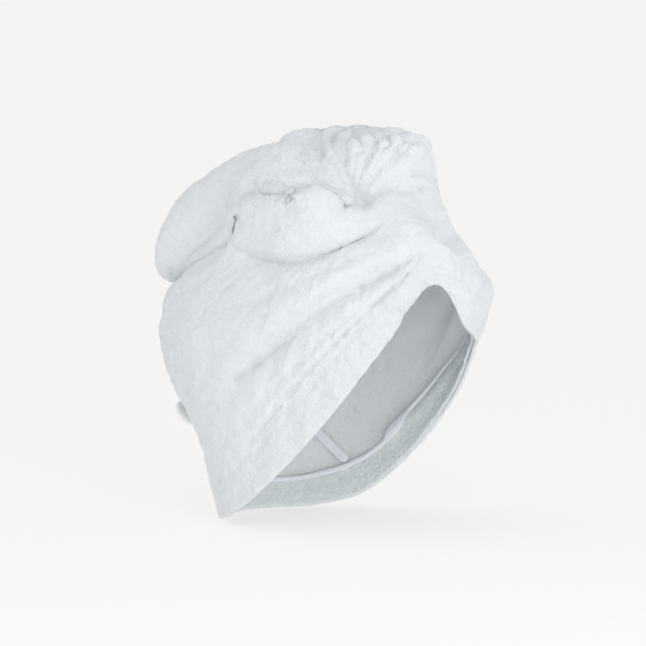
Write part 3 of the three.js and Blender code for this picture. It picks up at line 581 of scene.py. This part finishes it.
# a flattened oval section, with the slanted loops of the overlock as ridges on the side that shows
ridges = backSeam["ridge"] * np.abs(np.cos(math.pi * (run + 1.4 * np.cos(theta)) / backSeam["stitch"])) * np.clip(np.sin(theta), 0, 1)
end = np.minimum(1, np.sqrt(np.clip(np.minimum(t, 1 - t) * backSeam["length"] / 2.5, 0.02, 1)))[:, None]
w = np.sign(np.cos(theta)) * np.abs(np.cos(theta)) ** 0.7 * backSeam["width"] / 2 * end
h = hood["wall"] + 0.5 + backSeam["wall"] / 2 * (1 + np.sign(np.sin(theta)) * np.abs(np.sin(theta)) ** 0.7 * end) + ridges
rings = line[:, None, :] + side[:, None, :] * w[..., None] - normal[:, None, :] * h[..., None]
backSeamPiece = makePiece("backOverlock", rings, (rings[0].mean(axis=0), rings[-1].mean(axis=0)))
backSeamPiece.data.materials.append(overlockThread)
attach(backSeamPiece, "root")
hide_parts("back_seam")
print("back seam made")

# ---------- button and loop at the nape ----------
button = {"diameter": 20, "thick": 3.4, "shank": 5, "shankHeight": 4.2, "up": 0.25, "sides": 96, "bevels": 3}
cord = {"width": 2.6, "reach": 19, "sides": 16, "steps": 220, "braid": 0.1}
seat = cloth(np.array([180.0, 179.0, 181.0, 180.0, 180.0]), button["up"] + np.array([0, 0, 0, -0.02, 0.02]))
outwards = unit(np.cross(seat[2] - seat[1], seat[4] - seat[3]))
leftwards = np.array([-1.0, 0, 0])
upwards = np.cross(outwards, leftwards)


def onSeat(x, y, z):
    # across, up and out from the button's seat on the cloth
    return seat[0] + x[..., None] * leftwards + y[..., None] * upwards + z[..., None] * outwards


def rounded(profile, times):
    # each corner is cut at a quarter of its two sides, again and again
    for _ in range(times):
        a, b = profile[:-1], profile[1:]
        cut = np.stack((0.75 * a + 0.25 * b, 0.25 * a + 0.75 * b), axis=1).reshape(-1, 2)
        profile = np.vstack((profile[:1], cut, profile[-1:]))
    return profile


radius, base = button["diameter"] / 2, 0.5 + button["shankHeight"]
top = base + button["thick"]
profile = rounded(
    np.array([
        (button["shank"] / 2, 0.5), (button["shank"] / 2, base), (radius * 0.9, base), (radius, base + button["thick"] * 0.35),
        (radius, base + button["thick"] * 0.7), (radius * 0.88, top), (radius * 0.72, top), (radius * 0.6, top - button["thick"] * 0.3), (0.4, top - button["thick"] * 0.3),
    ]),
    button["bevels"],
)
theta = (np.arange(button["sides"]) * 2 * math.pi / button["sides"])[None, :]
r, z = profile[:, :1], profile[:, 1:] + 0 * theta
rings = onSeat(r * np.cos(theta), -r * np.sin(theta), z)
buttonPiece = makePiece("napeButton", rings[::-1], (rings[-1].mean(axis=0), rings[0].mean(axis=0)))
buttonPiece.data.materials.append(mouldedResin)
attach(buttonPiece, "root")
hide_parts("button")

ride, bendRadius = 0.7 + cord["width"] / 2, button["shank"] / 2 + 0.3 + cord["width"] / 2
straight, arcTurn = np.linspace(1, 0, 20)[:-1], np.linspace(math.pi, 2 * math.pi, 30)
x = np.concatenate((np.full(19, -bendRadius), bendRadius * np.cos(arcTurn), np.full(19, bendRadius)))
y = np.concatenate((cord["reach"] * straight, bendRadius * np.sin(arcTurn), cord["reach"] * straight[::-1]))
path = np.stack((x, y), axis=-1)
far = np.concatenate(([0], np.cumsum(np.linalg.norm(np.diff(path, axis=0), axis=1))))
at = np.linspace(0, far[-1], cord["steps"])
x, y = np.interp(at, far, x), np.interp(at, far, y)
line = onSeat(x, y, np.full(len(x), ride))
along = unit(np.gradient(line, axis=0))
side = unit(np.cross(along, outwards))
theta = (np.arange(cord["sides"]) * 2 * math.pi / cord["sides"])[None, :]
# two sets of ridges that wind round the cord in opposite directions make the braid
braid = np.cos(3 * theta + at[:, None] * 2.2) * np.cos(3 * theta - at[:, None] * 2.2)
r = cord["width"] / 2 + cord["braid"] * braid
rings = line[:, None, :] + side[:, None, :] * (r * np.cos(theta))[..., None] - outwards * (r * np.sin(theta))[..., None]
loopPiece = makePiece("tailLoop", rings, (rings[0].mean(axis=0), rings[-1].mean(axis=0)))
loopPiece.data.materials.append(braidedElastic)
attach(loopPiece, "root")
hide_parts("loop")
print("button and loop made")

# ---------- studio ----------
studio = {"floor": -60.2, "flat": 7500, "bowl": 15000, "wall": 9000, "paper": "#a4a4a4", "glow": 0.61, "sky": 0.74}
r = np.concatenate((np.linspace(20, studio["flat"], 24), np.linspace(studio["flat"], studio["bowl"], 40)[1:]))
rise = np.clip((r - studio["flat"]) / (studio["bowl"] - studio["flat"]), 0, 1)
theta = (np.arange(96) * 2 * math.pi / 96)[None, :]
z = studio["floor"] + studio["wall"] * rise**2
rings = np.stack((r[:, None] * np.cos(theta), r[:, None] * np.sin(theta), z[:, None] + 0 * theta), axis=-1)
floor = makePiece("paperFloor", rings[::-1], (None, np.array([0, 0, studio["floor"]])))
paper = bpy.data.materials.new("mattPaper")  # matt background paper, lit evenly from all round
paper.use_nodes = True
shader = paper.node_tree.nodes["Principled BSDF"]
shader.inputs["Base Color"].default_value = linear(studio["paper"])
shader.inputs["Roughness"].default_value = 1.0
shader.inputs["Specular IOR Level"].default_value = 0.0
shader.inputs["Emission Color"].default_value = linear("#ffffff")
shader.inputs["Emission Strength"].default_value = studio["glow"]
floor.data.materials.append(paper)

world = bpy.data.worlds.new("studio")
world.use_nodes = True
world.node_tree.nodes["Background"].inputs["Color"].default_value = linear("#fbfcff")
world.node_tree.nodes["Background"].inputs["Strength"].default_value = studio["sky"]
bpy.context.scene.world = world
lamps = {
    "key": {"place": (-1.35, -1.1, 1.35), "size": 0.9, "power": 4.5},
    "fill": {"place": (-0.95, -1.65, 0.03), "size": 1.2, "power": 12.5},
}
for name, lamp in lamps.items():
    light = bpy.data.objects.new(name, bpy.data.lights.new(name, "AREA"))
    light.data.shape = "DISK"
    light.data.size = lamp["size"]
    light.data.energy = lamp["power"]
    light.location = lamp["place"]
    light.visible_camera = False
    light.rotation_mode = "QUATERNION"
    light.rotation_quaternion = (Vector((0, 0, 0.08)) - Vector(lamp["place"])).to_track_quat("-Z", "Y")
    bpy.context.scene.collection.objects.link(light)
bpy.context.scene.view_settings.view_transform = "Standard"
print("studio made")
